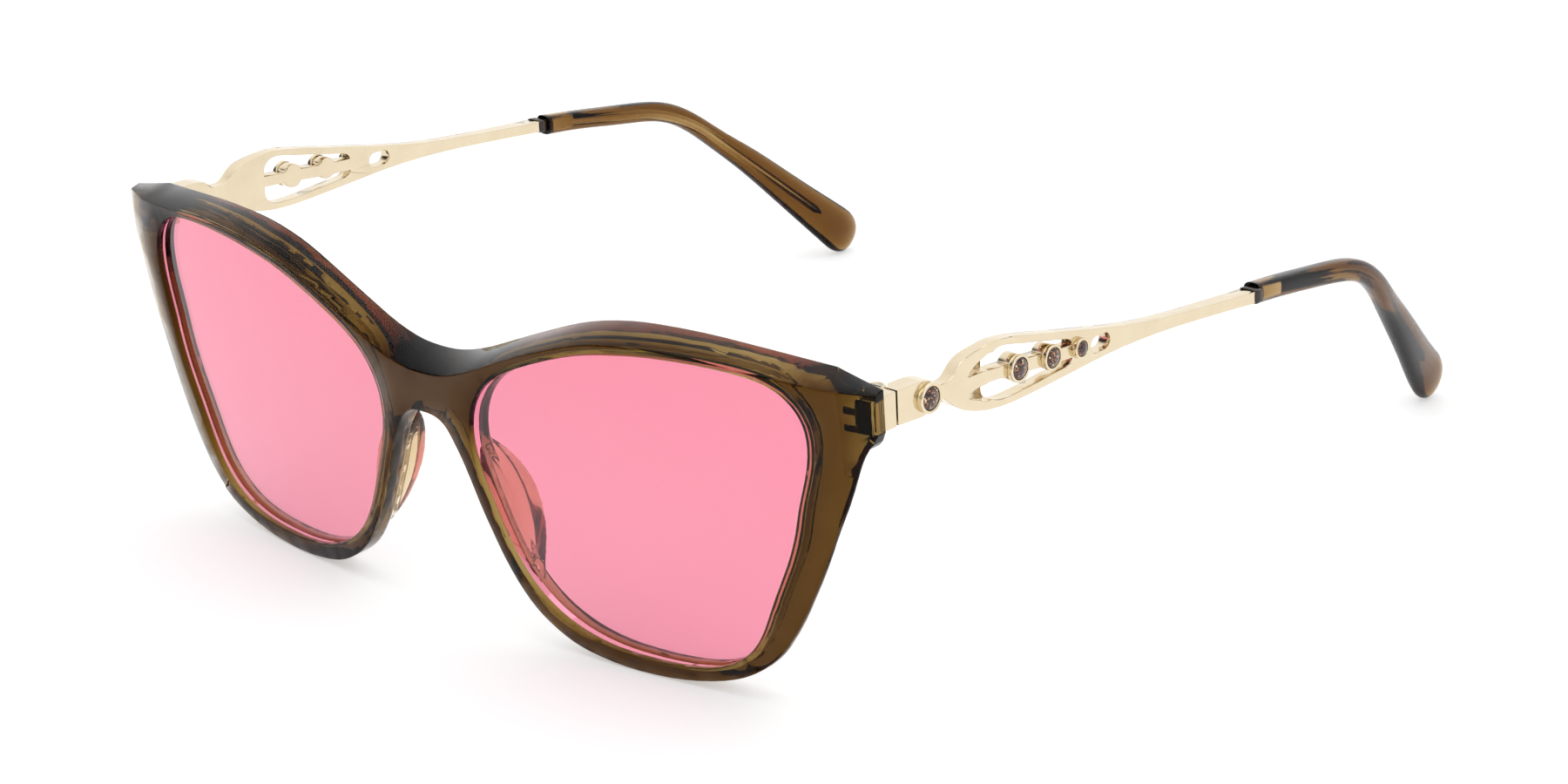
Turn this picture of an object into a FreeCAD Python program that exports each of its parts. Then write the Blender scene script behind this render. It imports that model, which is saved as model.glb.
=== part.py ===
import FreeCAD, Part
import math
import os

# Cat-eye sunglasses: acetate front, cast metal arms with set stones, acetate arm tips.
# Units are millimetres.  +X is the wearer's left, +Y runs back along the arms, +Z is up.
# The glasses stand on the lower rims and on the two arm tips; z = 0 is that floor.

V = FreeCAD.Vector

# ---- overall placement --------------------------------------------------------------------
STAND_TILT = 1.73        # degrees the front leans forward when the glasses stand on the floor
FRONT_Y = -72.3          # front datum behind the middle of the box
FRONT_Z = 33.64          # height of the bridge datum above the floor

# ---- front --------------------------------------------------------------------------------
WRAP_R = 267.0           # horizontal radius of the front surface
CROWN_R = 434.0          # vertical radius of the front surface
FRONT_T = 4.3            # acetate thickness
FACET_REACH = 12.0       # how far the cutting tools reach past the part
HALF_W = 69.2            # half width at the end pieces
LAND_X = 62.2            # flat land for the hinge on the back of each end piece
LAND_Y = 11.65

# ---- lenses -------------------------------------------------------------------------------
LENS_FACE = 1.0          # lens front face behind the frame's front surface
LENS_T = 1.7
LENS_LIP = 0.6           # lens edge held inside the groove
GROOVE_GAP = 0.05

# ---- nose pads ----------------------------------------------------------------------------
PAD_DEPTH = 7.3          # back of the pad behind the front surface
PAD_START = 2.9

# ---- hinge --------------------------------------------------------------------------------
PIN_X = 65.2
PIN_Y = -58.0
HINGE_Z0 = 38.15
HINGE_Z1 = 42.6
KNUCKLE_R = 1.25
KNUCKLE_CUT_R = 1.5
KNUCKLE_GAP = 0.1
SCREW_R = 0.55
SCREW_CLEAR = 0.05
SCREW_HEAD_R = 0.9
SCREW_HEAD_T = 0.5
BUTT_GAP = 0.3           # groove between the fixed block and the arm

# ---- arms ---------------------------------------------------------------------------------
ARM_IN = 65.9            # faces of the +X arm at its hinge end
ARM_OUT = 68.6
LOOP_IN = 66.4           # faces of the thinner open loop
LOOP_OUT = 68.3
ARM_END_Y = 14.2
TENON_LEN = 5.4
TENON_H = 1.6
TENON_Z = 33.85          # middle of the tenon where it leaves the arm
TENON_SLOPE = 6.4        # degrees
CORE_R = 0.6
CORE_GAP = 0.05

# stones along one arm: (y, z, stone radius, collar radius, radius of the seat, face it sits on)
STONES = [
    (-52.55, 40.1, 1.5, 1.9, 1.9, ARM_OUT),
    (-35.66, 38.73, 1.42, 1.8, 1.72, LOOP_OUT),
    (-29.3, 38.24, 1.32, 1.67, 1.57, LOOP_OUT),
    (-23.65, 37.76, 1.02, 1.35, 1.35, LOOP_OUT),
]
CUP_SINK = 0.7           # cup let into the arm
CUP_RISE = 0.9           # cup standing proud of the arm
CUP_FLOOR = 0.2          # metal under the stone
STONE_RISE = 1.3

# ---- design curves of the front, (x, z) about the bridge datum ------------------------------
OPENING = [
    (58.6, -7.8), (59.6, -3.9), (60.6, 0.6), (60.1, 5.0), (57.0, 8.4), (52.4, 9.75), (47.9, 10.1),
    (44.1, 10.15), (40.8, 10.05), (37.6, 9.85), (34.6, 9.5), (31.5, 9.05), (28.2, 8.4), (24.9, 7.45),
    (21.1, 6.1), (16.6, 4.2), (12.0, 1.4), (9.0, -2.8), (8.4, -7.8), (9.7, -12.7), (11.5, -17.3),
    (13.6, -21.8), (16.4, -25.7), (20.1, -28.6), (24.6, -30.5), (29.1, -31.4), (33.4, -31.65),
    (37.6, -31.6), (41.8, -31.2), (45.8, -30.1), (49.3, -28.0), (51.8, -24.9), (53.5, -21.3),
    (55.0, -17.8), (56.5, -14.5), (57.7, -11.3),
]

# lower outline from the end piece round the rim to the bridge:
# (x, z, straight edge before the back bevel, bevel width)
RIM = [
    (68.1, 2.5, 1.2, 2.8), (67.1, 0.3, 1.1, 2.9), (66.0, -3.0, 1.1, 2.9), (65.0, -5.6, 1.1, 2.7),
    (63.5, -9.1, 1.1, 2.5), (62.1, -12.6, 1.1, 2.3), (60.7, -15.8, 1.1, 2.2), (59.1, -19.1, 1.1, 2.1),
    (57.6, -22.0, 1.1, 2.0), (56.0, -24.6, 1.1, 1.8), (54.4, -26.8, 1.1, 1.6), (52.7, -28.5, 1.1, 1.4),
    (50.8, -29.9, 1.2, 1.2), (48.4, -31.2, 1.3, 1.0), (45.9, -32.1, 1.4, 0.9), (42.4, -32.95, 1.5, 0.8),
    (38.7, -33.5, 1.6, 0.8), (34.2, -33.75, 1.7, 0.8), (30.0, -33.65, 1.9, 0.8), (27.0, -33.3, 2.0, 0.8),
    (24.5, -32.85, 2.1, 0.9), (22.0, -32.1, 2.2, 1.0), (19.5, -30.85, 2.3, 1.1), (17.1, -29.2, 2.4, 1.2),
    (15.0, -27.1, 2.5, 1.2), (13.2, -24.6, 2.5, 1.2), (11.8, -22.2, 2.5, 1.2), (10.4, -19.3, 2.5, 1.2),
    (8.8, -15.8, 2.5, 1.2), (7.4, -12.3, 2.5, 1.2), (6.1, -9.5, 2.6, 1.1), (4.9, -7.4, 2.8, 1.0),
    (3.6, -5.8, 3.0, 0.9), (2.0, -5.05, 3.2, 0.8),
]

# crease between the front face and the top bevel, and the top back edge
TOP_CREASE = [
    (0, 0.6), (3, 0.75), (6, 1.4), (9, 2.5), (12, 3.75), (15, 5.1), (18, 6.35), (22, 7.8), (26, 9.15),
    (30, 10.1), (34, 10.65), (38, 10.95), (42, 11.05), (46, 10.95), (50, 10.7), (54, 10.35),
    (58, 10.0), (62, 9.7), (66, 9.4), (71, 9.1),
]
TOP_BACK = [
    (0, 2.9), (3, 3.05), (6, 3.65), (9, 4.6), (12, 5.8), (15, 7.05), (18, 8.25), (22, 9.8), (26, 11.15),
    (30, 12.05), (34, 12.6), (38, 12.8), (42, 12.8), (46, 12.65), (50, 12.35), (54, 12.0),
    (58, 11.6), (62, 11.2), (66, 10.7), (71, 10.1),
]

# ridge of the outer facet and the facet's outer edge with its set-back: (x, z) and (x, z, back)
RIDGE = [
    (63.4, 12.0), (64.0, 8.0), (64.4, 4.4), (63.9, 1.2), (62.6, -1.8), (61.2, -5.3), (59.0, -10.5),
    (56.7, -15.5), (54.6, -19.5), (51.8, -24.0), (48.8, -27.8),
]
FACET_EDGE = [
    (69.6, 12.0, 1.1), (69.5, 8.0, 1.1), (69.3, 4.2, 1.1), (68.3, 1.0, 1.0), (66.6, -2.6, 0.8),
    (65.1, -6.2, 0.7), (62.6, -11.7, 0.6), (60.2, -17.0, 0.5), (57.9, -21.6, 0.4), (54.6, -26.6, 0.3),
    (51.0, -30.2, 0.15),
]

# nose pad outline, nasal side then temple side
PAD = [
    (5.6, -7.2), (6.4, -9.8), (7.6, -12.4), (9.0, -15.8), (10.6, -19.3), (12.0, -22.2), (13.6, -24.9),
    (15.6, -27.4), (17.0, -28.2), (17.4, -27.0), (16.2, -24.6), (15.0, -21.6), (14.2, -18.4),
    (13.2, -15.0), (11.8, -11.8), (9.6, -9.0), (7.4, -7.0), (6.1, -6.4),
]

# ---- design curves of one arm, (y, z) above the floor ----------------------------------------
ARM_TOP = [
    (-51.0, 40.85), (-49.6, 40.75), (-48.5, 40.7), (-47.65, 40.95), (-46.98, 41.5), (-46.4, 42.0),
    (-45.65, 42.48), (-44.6, 42.83), (-42.7, 43.09), (-41.1, 43.24), (-39.5, 43.3), (-37.9, 43.15),
    (-34.6, 42.55), (-31.5, 41.84), (-27.8, 40.95), (-23.35, 39.94), (-19.3, 39.02), (-14.2, 37.92),
    (-10.0, 37.18), (-6.5, 36.69), (-3.0, 36.28), (0.6, 35.89), (4.3, 35.55), (8.0, 35.18), (14.2, 34.63),
]
ARM_BOTTOM = [
    (14.2, 33.0), (9.0, 33.54), (1.7, 34.26), (-5.5, 34.87), (-13.4, 35.2), (-18.2, 35.18),
    (-21.7, 35.05), (-25.1, 34.89), (-28.6, 34.72), (-32.0, 34.59), (-35.3, 34.51), (-38.6, 34.6),
    (-40.3, 34.78), (-41.9, 35.05), (-43.5, 35.48), (-45.1, 36.03), (-46.7, 36.85), (-48.2, 38.0),
    (-49.2, 38.75), (-50.1, 39.05), (-51.0, 39.1),
]
WINDOW = [
    (-40.9, 40.6), (-40.6, 41.5), (-39.7, 42.2), (-38.2, 42.35), (-35.0, 41.65), (-31.6, 40.9),
    (-28.3, 40.12), (-26.1, 39.57), (-25.1, 39.05), (-24.75, 38.2), (-24.8, 37.0), (-25.3, 36.25),
    (-26.5, 35.93), (-28.7, 35.82), (-32.0, 35.6), (-35.4, 35.43), (-38.5, 35.5), (-40.2, 36.0),
    (-40.95, 36.9), (-41.1, 38.0), (-41.05, 39.4),
]
BAR_LINE = [(-43.0, 39.3), (-38.3, 38.95), (-33.0, 38.42), (-27.3, 37.82), (-23.6, 37.6)]
BAR_HALF = [0.85, 0.75, 0.85, 0.87, 0.85]
# sloping recesses that run into the front ends of the two slots
RAMPS = [
    [(-44.85, 40.42), (-43.3, 41.3), (-41.6, 41.9), (-40.2, 42.05), (-39.3, 41.4), (-39.9, 40.35),
     (-41.4, 40.05), (-43.3, 40.1)],
    [(-44.88, 37.74), (-43.4, 38.2), (-41.7, 38.3), (-40.2, 38.05), (-39.4, 37.0), (-40.2, 36.15),
     (-42.0, 36.3), (-43.6, 36.95)],
]
RAMP_START = -44.95
RAMP_END = -39.9
HOLE_Y0, HOLE_Y1, HOLE_Z, HOLE_R = -21.25, -17.35, 37.1, 1.07

# ---- arm tip sections: centre (x, y, z), height, thickness, squareness -----------------------
TIP = [
    (66.9, 12.7, 33.98, 2.96, 2.8, 3.0), (66.52, 19.2, 33.25, 2.9, 2.77, 2.9),
    (66.17, 25.4, 32.38, 2.97, 2.77, 2.8), (65.85, 32.0, 31.4, 3.1, 2.81, 2.6),
    (65.51, 38.8, 29.9, 3.14, 2.86, 2.6), (64.79, 44.2, 26.95, 3.12, 2.9, 2.5),
    (63.83, 47.8, 23.95, 3.27, 2.91, 2.5), (62.4, 51.85, 20.4, 3.84, 2.92, 2.4),
    (60.77, 57.26, 15.4, 4.8, 2.93, 2.4), (59.14, 62.67, 10.16, 5.84, 2.92, 2.3),
    (57.87, 66.75, 6.25, 6.7, 2.91, 2.3), (57.31, 69.17, 3.98, 7.1, 2.87, 2.2),
    (57.11, 70.75, 2.45, 6.2, 2.38, 2.2), (57.08, 71.55, 1.65, 4.5, 1.67, 2.2),
    (57.09, 72.0, 1.2, 2.1, 0.7, 2.2),
]
CORE_PATH = [(66.8, 16.2, 33.72), (65.4, 41.3, 29.75), (58.32, 64.7, 8.4)]
CORE_BEND = 8.0          # straight length replaced by the bend on each side of the corner
CORE_POINT = 1.4         # length of the wire's pointed end


# ---- helpers ------------------------------------------------------------------------------
def front_y(x, z):
    """Depth of the front surface."""
    return x * x / (2 * WRAP_R) + z * z / (2 * CROWN_R)


def mirrored(shape):
    return shape.mirror(V(0, 0, 0), V(1, 0, 0))


def stand(shape):
    """Move a shape from the front's own datum to the standing position."""
    out = shape.copy()
    out.rotate(V(0, 0, 0), V(1, 0, 0), STAND_TILT)
    out.translate(V(0, FRONT_Y, FRONT_Z))
    return out


def behind(offset):
    """Solid holding everything behind the front surface moved back by offset."""
    grid = []
    for i in range(17):
        x = -76.0 + 9.5 * i
        column = []
        for j in range(9):
            z = -40.0 + 7.5 * j
            column.append(V(x, front_y(x, z) + offset, z))
        grid.append(column)
    surface = Part.BSplineSurface()
    surface.interpolate(grid)
    return surface.toShape().extrude(V(0, 40, 0))


def spline(points, periodic=False):
    curve = Part.BSplineCurve()
    curve.interpolate(points, PeriodicFlag=periodic)
    return curve.toShape()


def normals(points, closed=True):
    """Unit vectors pointing to the right of the direction of travel."""
    n = len(points)
    out = []
    for i in range(n):
        a = points[i - 1] if (closed or i > 0) else points[i]
        b = points[(i + 1) % n] if (closed or i < n - 1) else points[i]
        dx = b[0] - a[0]
        dz = b[1] - a[1]
        length = math.hypot(dx, dz)
        out.append((dz / length, -dx / length))
    return out


def outline_prism(points, grow=0.0):
    """Closed smooth outline in the x-z plane, grown outwards, run through the front."""
    grown = [(p[0] + g[0] * grow, p[1] + g[1] * grow) for p, g in zip(points, normals(points))]
    wire = Part.Wire(spline([V(x, -5, z) for x, z in grown], True))
    return Part.Face(wire).extrude(V(0, 40, 0))


def ruled_cut(first, second, direction):
    """Everything on one side of the ruled surface between two curves."""
    face = Part.makeRuledSurface(spline(first), spline(second))
    return face.extrude(direction)


def box(x0, x1, y0, y1, z0, z1):
    return Part.makeBox(x1 - x0, y1 - y0, z1 - z0, V(x0, y0, z0))


def both_ways(points):
    """Right half of a symmetric curve repeated on the left, running from -x to +x."""
    left = [(-p[0], *p[1:]) for p in reversed(points) if p[0] > 0.01]
    return left + list(points)


# ---- front --------------------------------------------------------------------------------
def front_blank():
    """Outline of the whole front run through its thickness."""
    lower = list(RIM) + [(0.0, -4.9, 3.2, 0.8)] + [(-p[0], *p[1:]) for p in reversed(RIM)]
    bottom = spline([V(p[0], -5, p[1]) for p in lower])
    corner = [(68.1, 2.5), (68.75, 3.25), (HALF_W, 4.3), (HALF_W, 20.0)]
    right = [V(x, -5, z) for x, z in corner]
    left = [V(-x, -5, z) for x, z in corner]
    edges = [bottom]
    edges += [Part.makeLine(a, b) for a, b in zip(left, left[1:])]
    edges.append(Part.makeLine(left[-1], right[-1]))
    edges += [Part.makeLine(b, a) for a, b in zip(right, right[1:])][::-1]
    wire = Part.Wire(Part.__sortEdges__(edges))
    return Part.Face(wire).extrude(V(0, 40, 0))


def top_bevel():
    """Material above the sloping top of the front."""
    first = []
    second = []
    for (xa, za), (xb, zb) in zip(both_ways(TOP_CREASE), both_ways(TOP_BACK)):
        ya = front_y(xa, za)
        slope = (zb - za) / FRONT_T
        first.append(V(xa, ya - 4, za - 4 * slope))
        second.append(V(xb, ya + FRONT_T + 3, zb + 3 * slope))
    return ruled_cut(first, second, V(0, 0, 30))


def outer_facet():
    """Material in front of the facet that turns the outer edge back."""
    first = []
    second = []
    for (xr, zr), (xe, ze, back) in zip(RIDGE, FACET_EDGE):
        yr = front_y(xr, zr)
        ye = front_y(xe, ze) + back
        first.append(V(xr - 0.5 * (xe - xr), yr - 0.5 * (ye - yr), zr - 0.5 * (ze - zr)))
        second.append(V(xe + 0.8 * (xe - xr), ye + 0.8 * (ye - yr), ze + 0.8 * (ze - zr)))
    return ruled_cut(first, second, V(0, -FACET_REACH, 0))


def back_bevel():
    """Material behind the bevel that thins the rim towards its outer edge."""
    first = []
    second = []
    for (x, z, edge, width), (nx, nz) in zip(RIM, normals(RIM, False)):
        y = front_y(x, z)
        slope = (FRONT_T - edge) / width
        first.append(V(x - nx * 0.5, y + edge - 0.5 * slope, z - nz * 0.5))
        second.append(V(x + nx * (width + 0.5), y + FRONT_T + 0.5 * slope, z + nz * (width + 0.5)))
    return ruled_cut(first, second, V(0, 20, 0))


def groove_ring():
    """Lens groove cut into the wall of one opening."""
    ring = outline_prism(OPENING, LENS_LIP + GROOVE_GAP)
    ring = ring.common(behind(LENS_FACE - GROOVE_GAP))
    return ring.cut(behind(LENS_FACE + LENS_T + GROOVE_GAP))


def make_front():
    shape = front_blank().common(behind(0.0)).cut(behind(FRONT_T))
    for tool in (top_bevel(), outer_facet(), back_bevel()):
        shape = shape.cut(tool)
    shape = shape.cut(mirrored(outer_facet()))
    shape = shape.cut(mirrored(back_bevel()))
    land = box(LAND_X, HALF_W + 5, LAND_Y, 40, -2, 30)
    for tool in (outline_prism(OPENING), groove_ring(), land):
        shape = shape.cut(tool)
        shape = shape.cut(mirrored(tool))
    return shape


def make_lens():
    shape = outline_prism(OPENING, LENS_LIP).common(behind(LENS_FACE))
    return shape.cut(behind(LENS_FACE + LENS_T))


def make_pad(front):
    """Clear pad bonded behind the nose side of one rim."""
    turned = list(reversed(PAD)) if normals(PAD)[0][0] > 0 else PAD
    blank = outline_prism(turned).common(behind(PAD_START))
    blank = blank.cut(behind(PAD_DEPTH))
    # rounded back: thinner towards the upper and lower ends
    crown = Part.makeCylinder(15.2, 60, V(-10, PAD_DEPTH - 15.0, -15.5), V(1, 0, 0))
    lean = V(13.0, 0, -15.5)
    crown.rotate(lean, V(0, 0, 1), 6)
    blank = blank.common(crown)
    return blank.cut(front)


# ---- hinge --------------------------------------------------------------------------------
def upright(radius, z0, z1):
    return Part.makeCylinder(radius, z1 - z0, V(PIN_X, PIN_Y, z0))


def knuckle_levels():
    """Heights of the two fixed knuckles and of the arm's knuckle between them."""
    step = (HINGE_Z1 - HINGE_Z0) / 3
    low = (HINGE_Z0, HINGE_Z0 + step - KNUCKLE_GAP / 2)
    middle = (HINGE_Z0 + step + KNUCKLE_GAP / 2, HINGE_Z1 - step - KNUCKLE_GAP / 2)
    high = (HINGE_Z1 - step + KNUCKLE_GAP / 2, HINGE_Z1)
    return low, middle, high


def anchor(grow):
    """Plate and two prongs let into the back of the end piece."""
    plate = box(65.9 - grow, 68.3 + grow, -62.1 - grow, -60.4, 38.15 - grow, 42.3 + grow)
    for z0 in (38.15, 40.3):
        prong = box(64.0 - grow, 66.0, -62.0 - grow, -61.0 + grow, z0 - grow, z0 + 0.85 + grow)
        plate = plate.fuse(prong)
    return plate


def make_hinge_block():
    low, middle, high = knuckle_levels()
    block = box(ARM_IN, ARM_OUT, -60.9, PIN_Y - BUTT_GAP / 2, HINGE_Z0, HINGE_Z1)
    block = block.cut(upright(KNUCKLE_CUT_R, middle[0] - KNUCKLE_GAP, middle[1] + KNUCKLE_GAP))
    for z0, z1 in (low, high):
        block = block.fuse(upright(KNUCKLE_R, z0, z1))
        block = block.fuse(box(PIN_X - 0.9, ARM_IN + 0.4, -60.3, PIN_Y - 0.4, z0, z1))
    block = block.fuse(anchor(0.0))
    block = block.cut(upright(SCREW_R, HINGE_Z0, HINGE_Z1))
    block = block.cut(upright(SCREW_HEAD_R, HINGE_Z1 - SCREW_HEAD_T, HINGE_Z1 + 1))
    return block.removeSplitter()


def make_screw():
    shaft = upright(SCREW_R, HINGE_Z0 + 0.1, HINGE_Z1 - 0.1)
    head = upright(SCREW_HEAD_R, HINGE_Z1 - SCREW_HEAD_T, HINGE_Z1 - 0.05)
    slot = box(PIN_X - 1.5, PIN_X + 1.5, PIN_Y - 0.12, PIN_Y + 0.12, HINGE_Z1 - 0.3, HINGE_Z1 + 1)
    return shaft.fuse(head).cut(slot).removeSplitter()


# ---- arm ----------------------------------------------------------------------------------
def side_prism(wire, x0=ARM_IN, x1=ARM_OUT):
    """Closed wire drawn at x = 0 in the y-z plane, run from x0 to x1."""
    shape = Part.Face(wire).extrude(V(x1 - x0, 0, 0))
    shape.translate(V(x0, 0, 0))
    return shape


def flat(points):
    return [V(0, y, z) for y, z in points]


def cup_disc(stone, x0, x1, radius):
    return Part.makeCylinder(radius, x1 - x0, V(x0, stone[0], stone[1]), V(1, 0, 0))


def plan_prism():
    """Plan view of the arm: full thickness at the hinge end, thin loop, thicker rear end."""
    plan = [(ARM_IN, -62), (ARM_OUT, -62), (ARM_OUT, -50.6), (LOOP_OUT, -49.4), (LOOP_OUT, -15), (68.5, 15),
            (66.0, 15), (LOOP_IN, -15), (LOOP_IN, -49.4), (ARM_IN, -51.6)]
    ring = [V(x, y, 0) for x, y in plan + plan[:1]]
    return Part.Face(Part.makePolygon(ring)).extrude(V(0, 0, 60))


def arm_plate():
    """Cast arm: hinge block, neck, open loop with the jewelled bar, tapered rear bar."""
    top = spline(flat(ARM_TOP))
    bottom = spline(flat(ARM_BOTTOM))
    rear = Part.makeLine(V(0, *ARM_TOP[-1]), V(0, *ARM_BOTTOM[0]))
    front = Part.makeLine(V(0, *ARM_BOTTOM[-1]), V(0, *ARM_TOP[0]))
    plate = side_prism(Part.Wire([top, rear, bottom, front]))
    plate = plate.cut(side_prism(Part.Wire(spline(flat(WINDOW), True)), ARM_IN - 1, ARM_OUT + 1))
    upper = [(y, z + h) for (y, z), h in zip(BAR_LINE, BAR_HALF)]
    lower = [(y, z - h) for (y, z), h in zip(BAR_LINE, BAR_HALF)][::-1]
    bar = Part.Wire([
        spline(flat(upper)),
        Part.makeLine(V(0, *upper[-1]), V(0, *lower[0])),
        spline(flat(lower)),
        Part.makeLine(V(0, *lower[-1]), V(0, *upper[0])),
    ])
    plate = plate.fuse(side_prism(bar))
    head = [(PIN_Y + BUTT_GAP / 2, HINGE_Z0), (PIN_Y + BUTT_GAP / 2, HINGE_Z1), (-53.6, 42.45),
            (-52.0, 42.1), (-50.6, 40.85), (-50.6, 39.1), (-52.0, 38.1), (-53.6, 37.9)]
    plate = plate.fuse(side_prism(Part.makePolygon(flat(head + head[:1]))))
    plate = plate.common(plan_prism())
    for stone in STONES:
        inside = ARM_IN if stone[5] == ARM_OUT else LOOP_IN
        plate = plate.fuse(cup_disc(stone, inside, stone[5], stone[4]))
    hole = box(ARM_IN - 1, ARM_OUT + 1, HOLE_Y0 + HOLE_R, HOLE_Y1 - HOLE_R, HOLE_Z - HOLE_R, HOLE_Z + HOLE_R)
    for y in (HOLE_Y0 + HOLE_R, HOLE_Y1 - HOLE_R):
        hole = hole.fuse(Part.makeCylinder(HOLE_R, 6, V(ARM_IN - 1, y, HOLE_Z), V(1, 0, 0)))
    return plate.cut(hole)


def ramp_cut():
    """Sloping ends of the window on the outer face."""
    deep = LOOP_IN + 0.25
    corners = [(LOOP_OUT + 0.05, RAMP_START), (LOOP_OUT + 0.05, -39.0), (deep, -39.0), (deep, RAMP_END)]
    plan = Part.makePolygon([V(x, y, 34) for x, y in corners + corners[:1]])
    wedge = Part.Face(plan).extrude(V(0, 0, 10))
    shape = None
    for outline in RAMPS:
        prism = side_prism(Part.Wire(spline(flat(outline), True)), ARM_IN, ARM_OUT + 1).common(wedge)
        shape = prism if shape is None else shape.fuse(prism)
    return shape


def arm_knuckle():
    low, middle, high = knuckle_levels()
    z0, z1 = middle
    knuckle = upright(KNUCKLE_R, z0, z1)
    return knuckle.fuse(box(PIN_X - 0.9, ARM_IN + 0.4, PIN_Y + 0.4, PIN_Y + 3.0, z0, z1))


def core(grow):
    """Tenon and wire that run down inside the arm tip."""
    last = ARM_END_Y + TENON_LEN
    half = TENON_H / 2 + grow
    shape = box(66.1 - grow, 67.5 + grow, ARM_END_Y - 0.5, last + grow, TENON_Z - half, TENON_Z + half)
    shape.rotate(V(0, ARM_END_Y, TENON_Z), V(1, 0, 0), -TENON_SLOPE)
    start, corner, end = [V(*p) for p in CORE_PATH]
    first = (start - corner).normalize()
    second = (end - corner).normalize()
    bend_in = corner + first * CORE_BEND
    bend_out = corner + second * CORE_BEND
    turn = first.getAngle(second) / 2
    reach = CORE_BEND / math.cos(turn) - CORE_BEND * math.tan(turn)
    middle = corner + (first + second).normalize() * reach
    path = Part.Wire([
        Part.makeLine(start, bend_in),
        Part.Arc(bend_in, middle, bend_out).toShape(),
        Part.makeLine(bend_out, end),
    ])
    circle = Part.Wire(Part.makeCircle(CORE_R + grow, start, corner - start))
    point = Part.makeCone(CORE_R + grow, 0.1 + grow, CORE_POINT, end, second)
    return shape.fuse(path.makePipeShell([circle], True, False)).fuse(point)


def make_arm():
    low, middle, high = knuckle_levels()
    arm = arm_plate().cut(ramp_cut())
    for z0, z1 in (low, high):
        arm = arm.cut(upright(KNUCKLE_CUT_R, z0 - KNUCKLE_GAP * 2, z1 + KNUCKLE_GAP))
    arm = arm.fuse(arm_knuckle())
    arm = arm.cut(upright(SCREW_R + SCREW_CLEAR, HINGE_Z0 - 1, HINGE_Z1 + 1))
    for stone in STONES:
        arm = arm.cut(cup_disc(stone, stone[5] - CUP_SINK, stone[5] + 1, stone[3] - 0.35))
    return arm.fuse(core(0.0)).removeSplitter()


def make_cup(stone):
    """Gold cup: a stem sunk into the arm and a collar round the stone."""
    y, z, stone_r, cup_r, seat_r, face = stone
    stem = cup_disc(stone, face - CUP_SINK, face + 0.1, cup_r - 0.35)
    collar = cup_disc(stone, face, face + CUP_RISE, cup_r)
    top = Part.makeCone(cup_r, cup_r - 0.25, 0.2, V(face + CUP_RISE, y, z), V(1, 0, 0))
    bore = cup_disc(stone, face + CUP_FLOOR, face + 3, stone_r)
    return stem.fuse(collar).fuse(top).cut(bore).removeSplitter()


def make_stone(stone):
    """Domed stone resting on the floor of its cup."""
    y, z, stone_r, cup_r, seat_r, face = stone
    x0 = face + CUP_FLOOR
    side = 0.6
    rise = STONE_RISE - CUP_FLOOR - side
    base = cup_disc(stone, x0, x0 + side, stone_r)
    ball_r = (stone_r ** 2 + rise ** 2) / (2 * rise)
    ball = Part.makeSphere(ball_r, V(x0 + side + rise - ball_r, y, z))
    dome = ball.common(cup_disc(stone, x0 + side, x0 + side + rise + 0.1, stone_r))
    return base.fuse(dome).removeSplitter()


# ---- arm tip ------------------------------------------------------------------------------
def section(i):
    """Rounded section of the arm tip, square to the line through the section centres."""
    x, y, z, height, thick, power = TIP[i]
    a = V(*TIP[max(i - 1, 0)][:3])
    b = V(*TIP[min(i + 1, len(TIP) - 1)][:3])
    along = (b - a).normalize()
    up = V(1, 0, 0).cross(along).normalize()
    side = along.cross(up).normalize()
    points = []
    for k in range(16):
        angle = 2 * math.pi * k / 16
        c = math.cos(angle)
        s = math.sin(angle)
        u = math.copysign(abs(c) ** (2 / power), c) * thick / 2
        v = math.copysign(abs(s) ** (2 / power), s) * height / 2
        points.append(V(x, y, z) + side * u + up * v)
    curve = Part.BSplineCurve()
    curve.interpolate(Points=points, PeriodicFlag=True, Parameters=[float(k) for k in range(17)])
    return Part.Wire(curve.toShape())


def make_tip():
    tip = Part.makeLoft([section(i) for i in range(len(TIP))], True, False)
    tip = tip.cut(box(60, 75, 5, ARM_END_Y, 20, 50))
    return tip.cut(core(CORE_GAP))


def export(name, shape):
    if shape.ShapeType == "Compound" and len(shape.Solids) == 1:
        shape = shape.Solids[0]
    print(name, shape.isValid(), len(shape.Solids), round(shape.Volume, 1))
    shape.exportStep("parts/" + name + ".step")


def export_pair(name, shape):
    """+X is the wearer's left."""
    export(name + "_left", shape)
    export(name + "_right", mirrored(shape))


def main():
    os.makedirs("parts", exist_ok=True)
    front = make_front()
    pad = make_pad(front)
    placed = stand(front)
    seat = box(ARM_IN - 0.02, ARM_OUT + 0.02, -60.92, -58, HINGE_Z0 - 0.02, HINGE_Z1 + 0.02)
    for pocket in (anchor(0.02), seat):
        placed = placed.cut(pocket).cut(mirrored(pocket))
    export("front_frame", placed)
    export_pair("lens", stand(make_lens()))
    export_pair("nose_pad", stand(pad))
    export_pair("hinge_block", make_hinge_block())
    export_pair("hinge_screw", make_screw())
    export_pair("arm", make_arm())
    export_pair("arm_tip", make_tip())
    for number, stone in enumerate(STONES, 1):
        export_pair("cup_%d" % number, make_cup(stone))
        export_pair("stone_%d" % number, make_stone(stone))


main()
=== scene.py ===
import math

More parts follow.
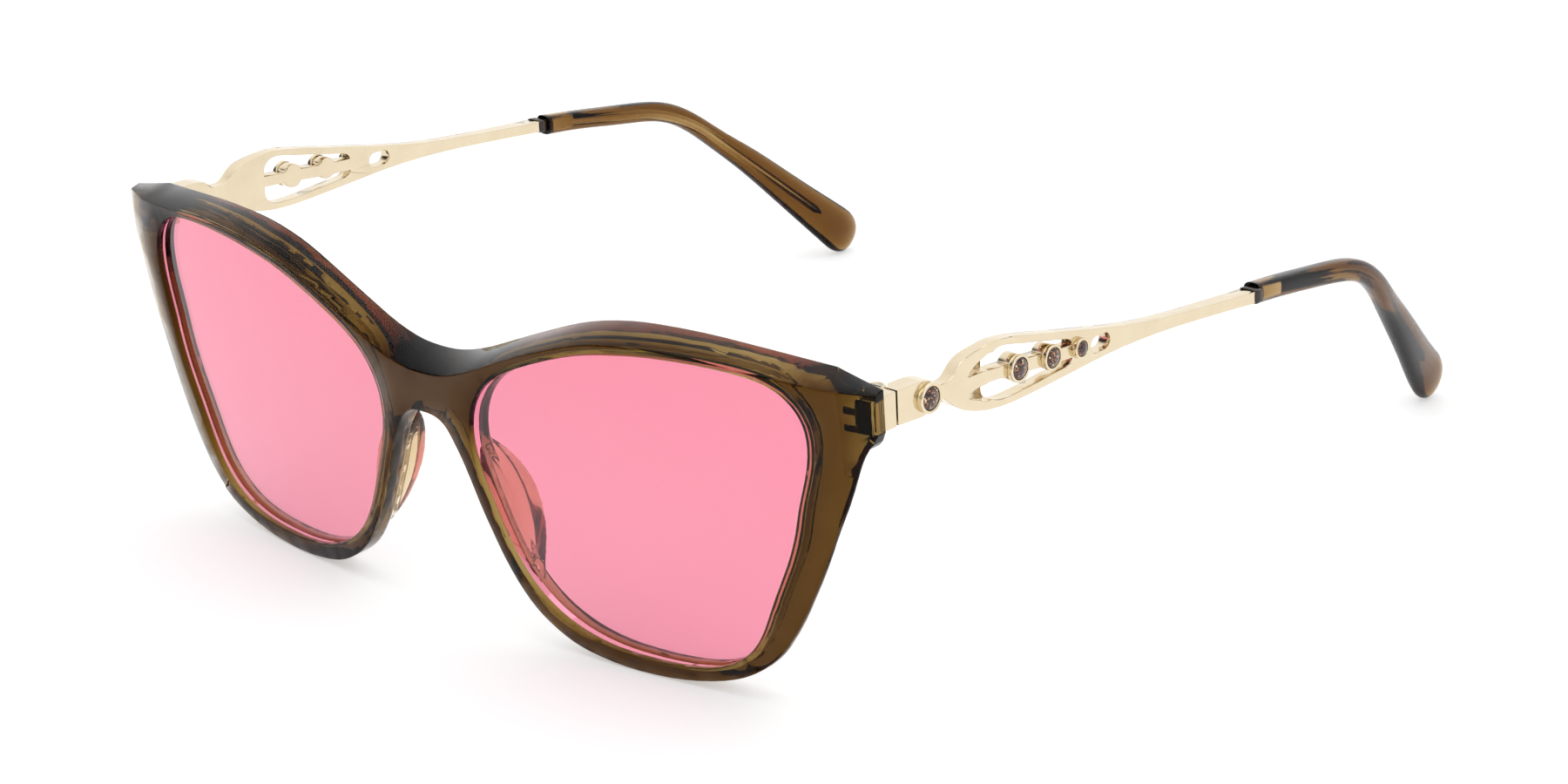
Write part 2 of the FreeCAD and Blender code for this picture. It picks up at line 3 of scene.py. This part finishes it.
import bpy
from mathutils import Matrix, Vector


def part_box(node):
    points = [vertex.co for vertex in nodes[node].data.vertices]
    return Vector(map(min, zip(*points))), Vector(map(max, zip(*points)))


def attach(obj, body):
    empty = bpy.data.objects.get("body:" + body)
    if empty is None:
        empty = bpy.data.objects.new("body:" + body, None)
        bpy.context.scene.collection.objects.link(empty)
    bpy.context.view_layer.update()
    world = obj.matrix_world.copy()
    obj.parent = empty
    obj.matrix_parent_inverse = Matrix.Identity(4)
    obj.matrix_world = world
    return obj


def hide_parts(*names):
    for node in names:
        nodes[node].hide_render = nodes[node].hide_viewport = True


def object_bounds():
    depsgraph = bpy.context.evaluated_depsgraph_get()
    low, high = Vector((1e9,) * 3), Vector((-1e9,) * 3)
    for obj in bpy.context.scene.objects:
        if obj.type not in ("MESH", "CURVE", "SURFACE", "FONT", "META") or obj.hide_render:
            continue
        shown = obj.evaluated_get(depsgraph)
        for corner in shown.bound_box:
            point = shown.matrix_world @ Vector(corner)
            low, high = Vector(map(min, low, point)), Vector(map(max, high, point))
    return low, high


# Cat-eye sunglasses.  Lengths are metres, in the CAD frame: +X wearer's left, +Y back, +Z up.
MM = 0.001
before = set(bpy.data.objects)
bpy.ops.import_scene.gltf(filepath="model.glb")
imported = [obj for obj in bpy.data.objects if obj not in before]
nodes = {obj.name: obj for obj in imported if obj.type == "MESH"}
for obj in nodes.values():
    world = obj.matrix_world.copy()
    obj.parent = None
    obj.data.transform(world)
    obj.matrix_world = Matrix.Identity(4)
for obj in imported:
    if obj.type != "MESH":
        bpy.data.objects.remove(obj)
cad_low, cad_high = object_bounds()
scene = bpy.context.scene
scene.view_settings.view_transform = "Standard"


# ---- node helpers -------------------------------------------------------------------------
class Material:
    """A material under construction: its principled shader plus short calls for nodes."""

    def __init__(self, name):
        self.mat = bpy.data.materials.new(name)
        self.mat.use_nodes = True
        self.tree = self.mat.node_tree
        self.shader = self.tree.nodes["Principled BSDF"]
        self.output = self.tree.nodes["Material Output"]
        self.coords = self.add("ShaderNodeTexCoord").outputs["Object"]

    def add(self, kind, **settings):
        node = self.tree.nodes.new(kind)
        for key, value in settings.items():
            setattr(node, key, value)
        return node

    def link(self, source, target):
        self.tree.links.new(source, target)

    def set(self, **values):
        """Constants on the principled shader; underscores stand for spaces."""
        for key, value in values.items():
            self.shader.inputs[key.replace("_", " ")].default_value = value

    def noise(self, scale, detail=3.0, roughness=0.5, distortion=0.0, stretch=None):
        node = self.add("ShaderNodeTexNoise")
        node.inputs["Scale"].default_value = scale
        node.inputs["Detail"].default_value = detail
        node.inputs["Roughness"].default_value = roughness
        node.inputs["Distortion"].default_value = distortion
        source = self.coords
        if stretch:
            mapping = self.add("ShaderNodeMapping")
            mapping.inputs["Scale"].default_value = stretch
            self.link(self.coords, mapping.inputs["Vector"])
            source = mapping.outputs["Vector"]
        self.link(source, node.inputs["Vector"])
        return node.outputs["Fac"]

    def voronoi(self, scale, output="Color", feature="F1"):
        node = self.add("ShaderNodeTexVoronoi", feature=feature)
        node.inputs["Scale"].default_value = scale
        self.link(self.coords, node.inputs["Vector"])
        return node.outputs[output]

    def ramp(self, source, *stops):
        node = self.add("ShaderNodeValToRGB")
        elements = node.color_ramp.elements
        while len(elements) < len(stops):
            elements.new(0.5)
        for element, (position, colour) in zip(elements, stops):
            element.position = position
            element.color = colour if len(colour) == 4 else (*colour, 1.0)
        self.link(source, node.inputs["Fac"])
        return node.outputs["Color"]

    def span(self, source, low, high, to_low=0.0, to_high=1.0):
        node = self.add("ShaderNodeMapRange")
        for key, value in (("From Min", low), ("From Max", high), ("To Min", to_low), ("To Max", to_high)):
            node.inputs[key].default_value = value
        self.link(source, node.inputs["Value"])
        return node.outputs["Result"]

    def axis(self, name):
        node = self.add("ShaderNodeSeparateXYZ")
        self.link(self.coords, node.inputs["Vector"])
        return node.outputs[name]

    def mix(self, fac, a, b, mode="MIX"):
        node = self.add("ShaderNodeMix", data_type="RGBA", blend_type=mode)
        for socket, value in (("Factor", fac), ("A", a), ("B", b)):
            target = [s for s in node.inputs if s.name == socket and s.enabled][0]
            if hasattr(value, "links"):
                self.link(value, target)
            elif socket == "Factor":
                target.default_value = value
            else:
                target.default_value = (*value, 1.0)
        return [s for s in node.outputs if s.enabled][0]

    def bump(self, height, strength, distance):
        node = self.add("ShaderNodeBump")
        node.inputs["Strength"].default_value = strength
        node.inputs["Distance"].default_value = distance
        self.link(height, node.inputs["Height"])
        self.link(node.outputs["Normal"], self.shader.inputs["Normal"])

    def absorb(self, loss):
        """Volume that takes away red, green and blue at these rates per metre."""
        node = self.add("ShaderNodeVolumeAbsorption")
        density = max(loss) * 1.1
        node.inputs["Color"].default_value = (*[1 - value / density for value in loss], 1.0)
        node.inputs["Density"].default_value = density
        self.link(node.outputs["Volume"], self.output.inputs["Volume"])


def rgb(r, g, b):
    """Linear colour from 0-255 display values."""
    def linear(v):
        v /= 255.0
        return v / 12.92 if v <= 0.04045 else ((v + 0.055) / 1.055) ** 2.4
    return linear(r), linear(g), linear(b)


def acetate(name, loss, streak, shine=0.22, ring=None):
    """Polished translucent acetate: tint in the volume, faint streaks and polishing marks.

    ring is the Y where a band of painted shade, a near-black colour at the front end, stops.
    """
    m = Material(name)
    m.set(IOR=1.49, Transmission_Weight=1.0, Specular_Tint=(shine, shine, shine, 1.0))
    cloud = m.noise(140, 4, 0.55, 0.6, (1.0, 1.0, 2.2))
    tone = m.ramp(cloud, (0.3, streak), (0.7, (1.0, 0.985, 0.955)))
    if ring is not None:
        # Painted shade: below this Y the tip's front end is coloured near black, standing for the shaded gap
        # around the metal bar.
        tone = m.mix(m.span(m.axis("Y"), ring - 0.15 * MM, ring + 0.1 * MM), (0.03, 0.02, 0.015), tone)
    m.link(tone, m.shader.inputs["Base Color"])
    m.link(m.span(m.noise(900, 2), 0.3, 0.7, 0.02, 0.05), m.shader.inputs["Roughness"])
    m.bump(m.noise(260, 2), 0.012, 0.0002)
    m.absorb(loss)
    return m.mat


def lens_plastic():
    """Pink lens tint, a little deeper towards the top."""
    m = Material("lens_pink")
    m.set(IOR=1.49, Transmission_Weight=1.0)
    height = m.span(m.axis("Z"), cad_low.z, cad_high.z)
    deep = m.ramp(height, (0.0, rgb(238, 148, 170)), (0.5, rgb(237, 142, 164)), (1.0, rgb(236, 135, 158)))
    haze = m.noise(60, 2)
    m.link(m.mix(m.span(haze, 0.3, 0.7, 0.0, 0.06), deep, rgb(240, 155, 177)), m.shader.inputs["Base Color"])
    m.link(m.span(m.noise(500, 2), 0.3, 0.7, 0.01, 0.03), m.shader.inputs["Roughness"])
    return m.mat


def shaded_tip_end():
    """Painted shade for the end of the tip: a near-black colour where the shaded gap around the metal bar looks
    almost black.
    """
    m = Material("acetate_painted_shade")
    m.link(m.ramp(m.noise(500, 3), (0.3, rgb(22, 15, 10)), (0.7, rgb(52, 36, 22))), m.shader.inputs["Base Color"])
    m.link(m.span(m.noise(1200, 2), 0.3, 0.7, 0.06, 0.14), m.shader.inputs["Roughness"])
    m.bump(m.noise(400, 2), 0.02, 0.0001)
    m.set(IOR=1.49)
    return m.mat


def gold(name, light, shade, rough):
    """Polished plated casting, with a slow drift in tone and a faint grain along the arm."""
    m = Material(name)
    m.set(Metallic=1.0)
    tone = m.noise(240, 5, 0.6, 0.3)
    m.link(m.ramp(tone, (0.3, shade), (0.65, light)), m.shader.inputs["Base Color"])
    m.link(m.span(m.noise(1400, 3), 0.3, 0.7, rough, rough + 0.08), m.shader.inputs["Roughness"])
    m.bump(m.noise(700, 3, 0.6, 0.0, (1.0, 0.25, 1.0)), 0.015, 0.00008)
    return m.mat


def glitter():
    """Brown stone with flat metallic flecks under a clear dome."""
    m = Material("stone_glitter")
    fleck = m.voronoi(4200)
    split = m.add("ShaderNodeSeparateColor")
    m.link(fleck, split.inputs["Color"])
    tone = m.ramp(
        split.outputs["Red"],
        (0.0, rgb(14, 6, 4)), (0.35, rgb(38, 16, 10)), (0.62, rgb(70, 34, 20)),
        (0.82, rgb(112, 62, 38)), (0.94, rgb(190, 136, 100)), (1.0, rgb(255, 228, 200)),
    )
    m.link(tone, m.shader.inputs["Base Color"])
    m.link(m.span(split.outputs["Green"], 0.0, 1.0, 0.3, 0.9), m.shader.inputs["Metallic"])
    m.link(m.span(split.outputs["Blue"], 0.0, 1.0, 0.25, 0.5), m.shader.inputs["Roughness"])
    m.bump(split.outputs["Red"], 0.35, 0.0001)
    m.set(Coat_Weight=1.0, Coat_Roughness=0.03, Coat_IOR=1.5)
    return m.mat


def steel():
    """Bright plated screw."""
    m = Material("screw_steel")
    m.set(Metallic=1.0)
    tone = m.ramp(m.noise(900, 3), (0.3, rgb(150, 140, 120)), (0.7, rgb(205, 196, 176)))
    m.link(tone, m.shader.inputs["Base Color"])
    m.link(m.span(m.noise(2400, 2), 0.3, 0.7, 0.18, 0.32), m.shader.inputs["Roughness"])
    m.bump(m.noise(1800, 2), 0.1, 0.00005)
    return m.mat


# Painted shade: the near-black band covers the first 0.85 mm of each tip.
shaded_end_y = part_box("arm_tip_left")[0].y + 0.85 * MM
front_acetate = acetate("acetate_front", (540, 720, 1240), (0.94, 0.92, 0.84))
tip_acetate = acetate("acetate_tip", (640, 920, 1500), (0.95, 0.91, 0.84), ring=shaded_end_y)
clear_acetate = acetate("acetate_clear", (60, 110, 210), (0.97, 0.95, 0.91), shine=0.6)
# Painted shade: near-black colour for the tip's lip, standing for the shaded gap around the bar.
painted_shade_black = shaded_tip_end()
pink = lens_plastic()
pale_gold = gold("gold_pale", rgb(226, 211, 183), rgb(220, 204, 174), 0.09)
deep_gold = gold("gold_cup", rgb(230, 217, 190), rgb(221, 204, 170), 0.06)
screw = steel()
stone = glitter()

LOOK = {
    "front": front_acetate, "lens": pink, "nose": clear_acetate, "hinge_block": pale_gold,
    "hinge_screw": screw, "arm_tip": tip_acetate, "arm": pale_gold, "cup": deep_gold, "stone": stone,
}
for name, node in nodes.items():
    key = max((k for k in LOOK if name.startswith(k)), key=len)
    node.data.materials.clear()
    node.data.materials.append(LOOK[key])

# ---- pieces that stand for CAD nodes; lengths in mm ---------------------------------------
SIDES = (("left", 1), ("right", -1))
STEM_STEP = 0.35         # collar radius less stem radius
STEM_DEPTH = 0.7         # stem let into the arm
COLLAR_HEIGHT = 0.55     # straight part of the collar, under its rolled lip
CUP_FLOOR = 0.2
DOME_RISE = 0.42         # stone above the straight part of the collar
STONE_GAP = 0.02
LENS_INSET = 0.45        # keeps the lens edge inside the rim's lip
PAD_VOXEL = 0.22
LIP_POINTS = 64
LIP_SLOPE = 0.09         # the bar falls this much for each mm towards the tip
LIP_SQUARE = 0.35        # power that squares the lip's section
LIP_STATIONS = [(-1.55, -0.1), (-1.55, 0.06), (-1.45, 0.16), (-0.1, 0.16), (0.05, 0.08), (0.05, -0.1)]
WELD = 0.0005


def add_piece(name, mesh, material, body, node=None):
    """Put in a mesh, which stands for one CAD node if a node is named."""
    mesh.materials.clear()
    mesh.materials.append(material)
    piece = bpy.data.objects.new(name, mesh)
    scene.collection.objects.link(piece)
    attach(piece, body)
    if node:
        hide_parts(node)
    return piece


def lathe(name, centre, side, profile, segments=72):
    """Turn (radius, height) points about an axis that leaves the centre along X."""
    verts = []
    rings = []
    for radius, height in profile:
        count = segments if radius > 0 else 1
        rings.append((len(verts), count))
        for i in range(count):
            angle = 2 * math.pi * i / segments
            offset = Vector((side * height, radius * math.cos(angle), radius * math.sin(angle)))
            verts.append(centre + offset * MM)
    faces = []
    for (start_a, count_a), (start_b, count_b) in zip(rings, rings[1:]):
        for i in range(segments):
            j = (i + 1) % segments
            face = [start_a + i % count_a, start_a + j % count_a, start_b + j % count_b, start_b + i % count_b]
            face = list(dict.fromkeys(face))
            faces.append(face if side > 0 else face[::-1])
    mesh = bpy.data.meshes.new(name)
    mesh.from_pydata(verts, [], faces)
    mesh.polygons.foreach_set("use_smooth", [True] * len(mesh.polygons))
    return mesh


def arc(centre_r, centre_h, radius, start, end, steps):
    """Points on an arc in a profile, angles in degrees from the outward radius."""
    points = []
    for i in range(steps + 1):
        a = math.radians(start + (end - start) * i / steps)
        points.append((centre_r + radius * math.cos(a), centre_h + radius * math.sin(a)))
    return points


def make_setting(number, side_name, side):
    """Round bezel with a rolled lip and the domed stone in it."""
    cup, gem = (f"{kind}_{number}_{side_name}" for kind in ("cup", "stone"))
    low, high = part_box(cup)
    gem_low, gem_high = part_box(gem)
    outer = (high.y - low.y) / 2 / MM
    inner = (gem_high.y - gem_low.y) / 2 / MM
    base = Vector((low.x if side > 0 else high.x, (low.y + high.y) / 2, (low.z + high.z) / 2))
    stem = outer - STEM_STEP
    face = STEM_DEPTH
    lip = (outer - inner) / 2
    shoulder = face + COLLAR_HEIGHT
    seat = face + CUP_FLOOR
    profile = [(0, 0), (stem, 0), (stem, face), (outer - 0.04, face), (outer, face + 0.04), (outer, shoulder)]
    profile += arc(outer - lip, shoulder, lip, 0, 180, 12)[1:]
    profile += [(inner, seat + 0.03), (inner - 0.03, seat), (0, seat)]
    add_piece("bezel_" + cup, lathe(cup, base, side, profile), deep_gold, f"{side_name}_arm", cup)
    edge = inner - STONE_GAP
    rise = DOME_RISE
    ball = (edge * edge + rise * rise) / (2 * rise)
    spread = math.degrees(math.asin(edge / ball))
    dome = [(0, seat + STONE_GAP), (edge - 0.03, seat + STONE_GAP), (edge, seat + 0.05)]
    dome += arc(0, shoulder + rise - ball, ball, 90 - spread, 90, 14)[:-1]
    dome.append((0, shoulder + rise))
    add_piece("dome_" + gem, lathe(gem, base, side, dome), stone, f"{side_name}_arm", gem)


def make_lens(side_name):
    """The lens as cut to its groove, drawn a little smaller so its edge stays inside the rim."""
    name = "lens_" + side_name
    low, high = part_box(name)
    middle = (low + high) / 2
    inset = LENS_INSET * MM
    mesh = nodes[name].data.copy()
    for vertex in mesh.vertices:
        for axis in (0, 2):
            half = (high[axis] - low[axis]) / 2
            vertex.co[axis] = middle[axis] + (vertex.co[axis] - middle[axis]) * (1 - inset / half)
    add_piece("tinted_" + name, mesh, pink, "front", name)


def make_pad(side_name):
    """Nose pad with its faces run together into one smooth polished form."""
    name = "nose_pad_" + side_name
    mesh = nodes[name].data.copy()
    piece = add_piece("polished_" + name, mesh, clear_acetate, "front", name)
    weld = piece.modifiers.new("weld", "WELD")
    weld.merge_threshold = WELD * MM
    remesh = piece.modifiers.new("remesh", "REMESH")
    remesh.mode = "VOXEL"
    remesh.voxel_size = PAD_VOXEL * MM
    remesh.use_smooth_shade = True
    smooth = piece.modifiers.new("smooth", "SMOOTH")
    smooth.factor = 0.5
    smooth.iterations = 10


def make_tip_lip(side_name):
    """Lip of the tip, a band closed around the last of the metal bar, coloured near black as painted shade."""
    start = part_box("arm_tip_" + side_name)[0].y
    rim = [v.co for v in nodes["arm_" + side_name].data.vertices if abs(v.co.y - start) < 0.25 * MM]
    low = [min(p[k] for p in rim) for k in range(3)]
    high = [max(p[k] for p in rim) for k in range(3)]
    mid_x, mid_z = (low[0] + high[0]) / 2, (low[2] + high[2]) / 2
    half_x, half_z = (high[0] - low[0]) / 2, (high[2] - low[2]) / 2
    count = LIP_POINTS
    verts = []
    for offset, grow in LIP_STATIONS:
        y = start + offset * MM
        for i in range(count):
            angle = 2 * math.pi * i / count
            c, d = math.cos(angle), math.sin(angle)
            x = math.copysign(abs(c) ** LIP_SQUARE, c) * (half_x + grow * MM)
            z = math.copysign(abs(d) ** LIP_SQUARE, d) * (half_z + grow * MM)
            verts.append((mid_x + x, y, mid_z + z - LIP_SLOPE * offset * MM))
    faces = []
    rows = len(LIP_STATIONS)
    for r in range(rows):
        for i in range(count):
            j = (i + 1) % count
            a, b = r * count, (r + 1) % rows * count
            faces.append((a + i, b + i, b + j, a + j))
    mesh = bpy.data.meshes.new("tip_lip_" + side_name)
    mesh.from_pydata(verts, [], faces)
    mesh.polygons.foreach_set("use_smooth", [True] * len(mesh.polygons))
    add_piece(mesh.name, mesh, painted_shade_black, f"{side_name}_arm")


for side_name, side in SIDES:
    make_lens(side_name)
    make_tip_lip(side_name)
    make_pad(side_name)
    for number in range(1, 5):
        make_setting(number, side_name, side)

# Rounding of the CAD nodes' sharp edges.  The weld joins the CAD mesh's split edges first.
EDGES = {"front": 0.14, "arm": 0.1, "hinge_block": 0.12}
EDGE_ANGLE = 35
for name, node in nodes.items():
    for start, width in EDGES.items():
        if name.startswith(start):
            weld = node.modifiers.new("weld", "WELD")
            weld.merge_threshold = WELD * MM
            bevel = node.modifiers.new("edges", "BEVEL")
            bevel.width = width * MM
            bevel.segments = 2
            bevel.limit_method = "ANGLE"
            bevel.angle_limit = math.radians(EDGE_ANGLE)
            bevel.harden_normals = True
            bevel.use_clamp_overlap = False


# ---- studio -------------------------------------------------------------------------------
def make_floor():
    """Plain white floor.  Part of its light is its own, so that the shadow stays faint."""
    mesh = bpy.data.meshes.new("floor")
    half = 4.0
    mesh.from_pydata([(-half, -half, 0), (half, -half, 0), (half, half, 0), (-half, half, 0)], [], [(0, 1, 2, 3)])
    floor = bpy.data.objects.new("floor", mesh)
    scene.collection.objects.link(floor)
    floor.location.z = cad_low.z - 0.0001
    m = Material("floor_white")
    tone = m.ramp(m.noise(3, 2), (0.3, (0.74, 0.74, 0.74)), (0.7, (0.77, 0.77, 0.77)))
    m.link(tone, m.shader.inputs["Base Color"])
    m.set(Roughness=0.9, Specular_IOR_Level=0.2, Emission_Color=(1, 1, 1, 1), Emission_Strength=0.38)
    mesh.materials.append(m.mat)


def area(name, place, target, size, power):
    """Rectangular light that points at the target."""
    data = bpy.data.lights.new(name, "AREA")
    data.shape = "RECTANGLE"
    data.size, data.size_y = size
    data.energy = power
    light = bpy.data.objects.new(name, data)
    scene.collection.objects.link(light)
    light.location = place
    direction = Vector(target) - Vector(place)
    light.rotation_euler = direction.to_track_quat("-Z", "Y").to_euler()


def make_studio():
    """White surround, brighter behind the glasses, with a dark patch low in front on the left."""
    world = bpy.data.worlds.new("studio")
    scene.world = world
    world.use_nodes = True
    tree = world.node_tree
    background = tree.nodes["Background"]

    def add(kind, **settings):
        node = tree.nodes.new(kind)
        for key, value in settings.items():
            setattr(node, key, value)
        return node

    direction = add("ShaderNodeTexCoord").outputs["Generated"]

    def towards(aim, low, high, to_low, to_high):
        dot = add("ShaderNodeVectorMath", operation="DOT_PRODUCT")
        dot.inputs[1].default_value = Vector(aim).normalized()
        tree.links.new(direction, dot.inputs[0])
        span = add("ShaderNodeMapRange", interpolation_type="SMOOTHSTEP")
        for key, value in zip(("From Min", "From Max", "To Min", "To Max"), (low, high, to_low, to_high)):
            span.inputs[key].default_value = value
        tree.links.new(dot.outputs["Value"], span.inputs["Value"])
        return span.outputs["Result"]

    product = add("ShaderNodeMath", operation="MULTIPLY")
    tree.links.new(towards((-0.6, 0.75, 0.3), -1.0, 1.0, 0.7, 1.15), product.inputs[0])
    tree.links.new(towards((-0.62, -0.72, 0.25), 0.72, 0.95, 1.0, 0.05), product.inputs[1])
    tree.links.new(product.outputs["Value"], background.inputs["Strength"])
    background.inputs["Color"].default_value = (1, 1, 1, 1)
    area("top", (0.1, 0.1, 0.9), (0, 0, 0), (1.0, 1.0), 1.4)
    area("right", (1.0, -0.3, 0.5), (0, 0, 0.02), (0.5, 0.8), 1.2)


def make_camera():
    """The photo's view: from the wearer's left, in front and above."""
    data = bpy.data.cameras.new("camera")
    data.sensor_width = 36.0
    data.lens = 90.864
    data.clip_start = 0.01
    camera = bpy.data.objects.new("camera", data)
    scene.collection.objects.link(camera)
    camera.location = (0.35959, -0.38205, 0.20655)
    camera.rotation_euler = [math.radians(a) for a in (69.402, 2.498, 42.727)]
    scene.camera = camera


make_floor()
make_studio()
make_camera()
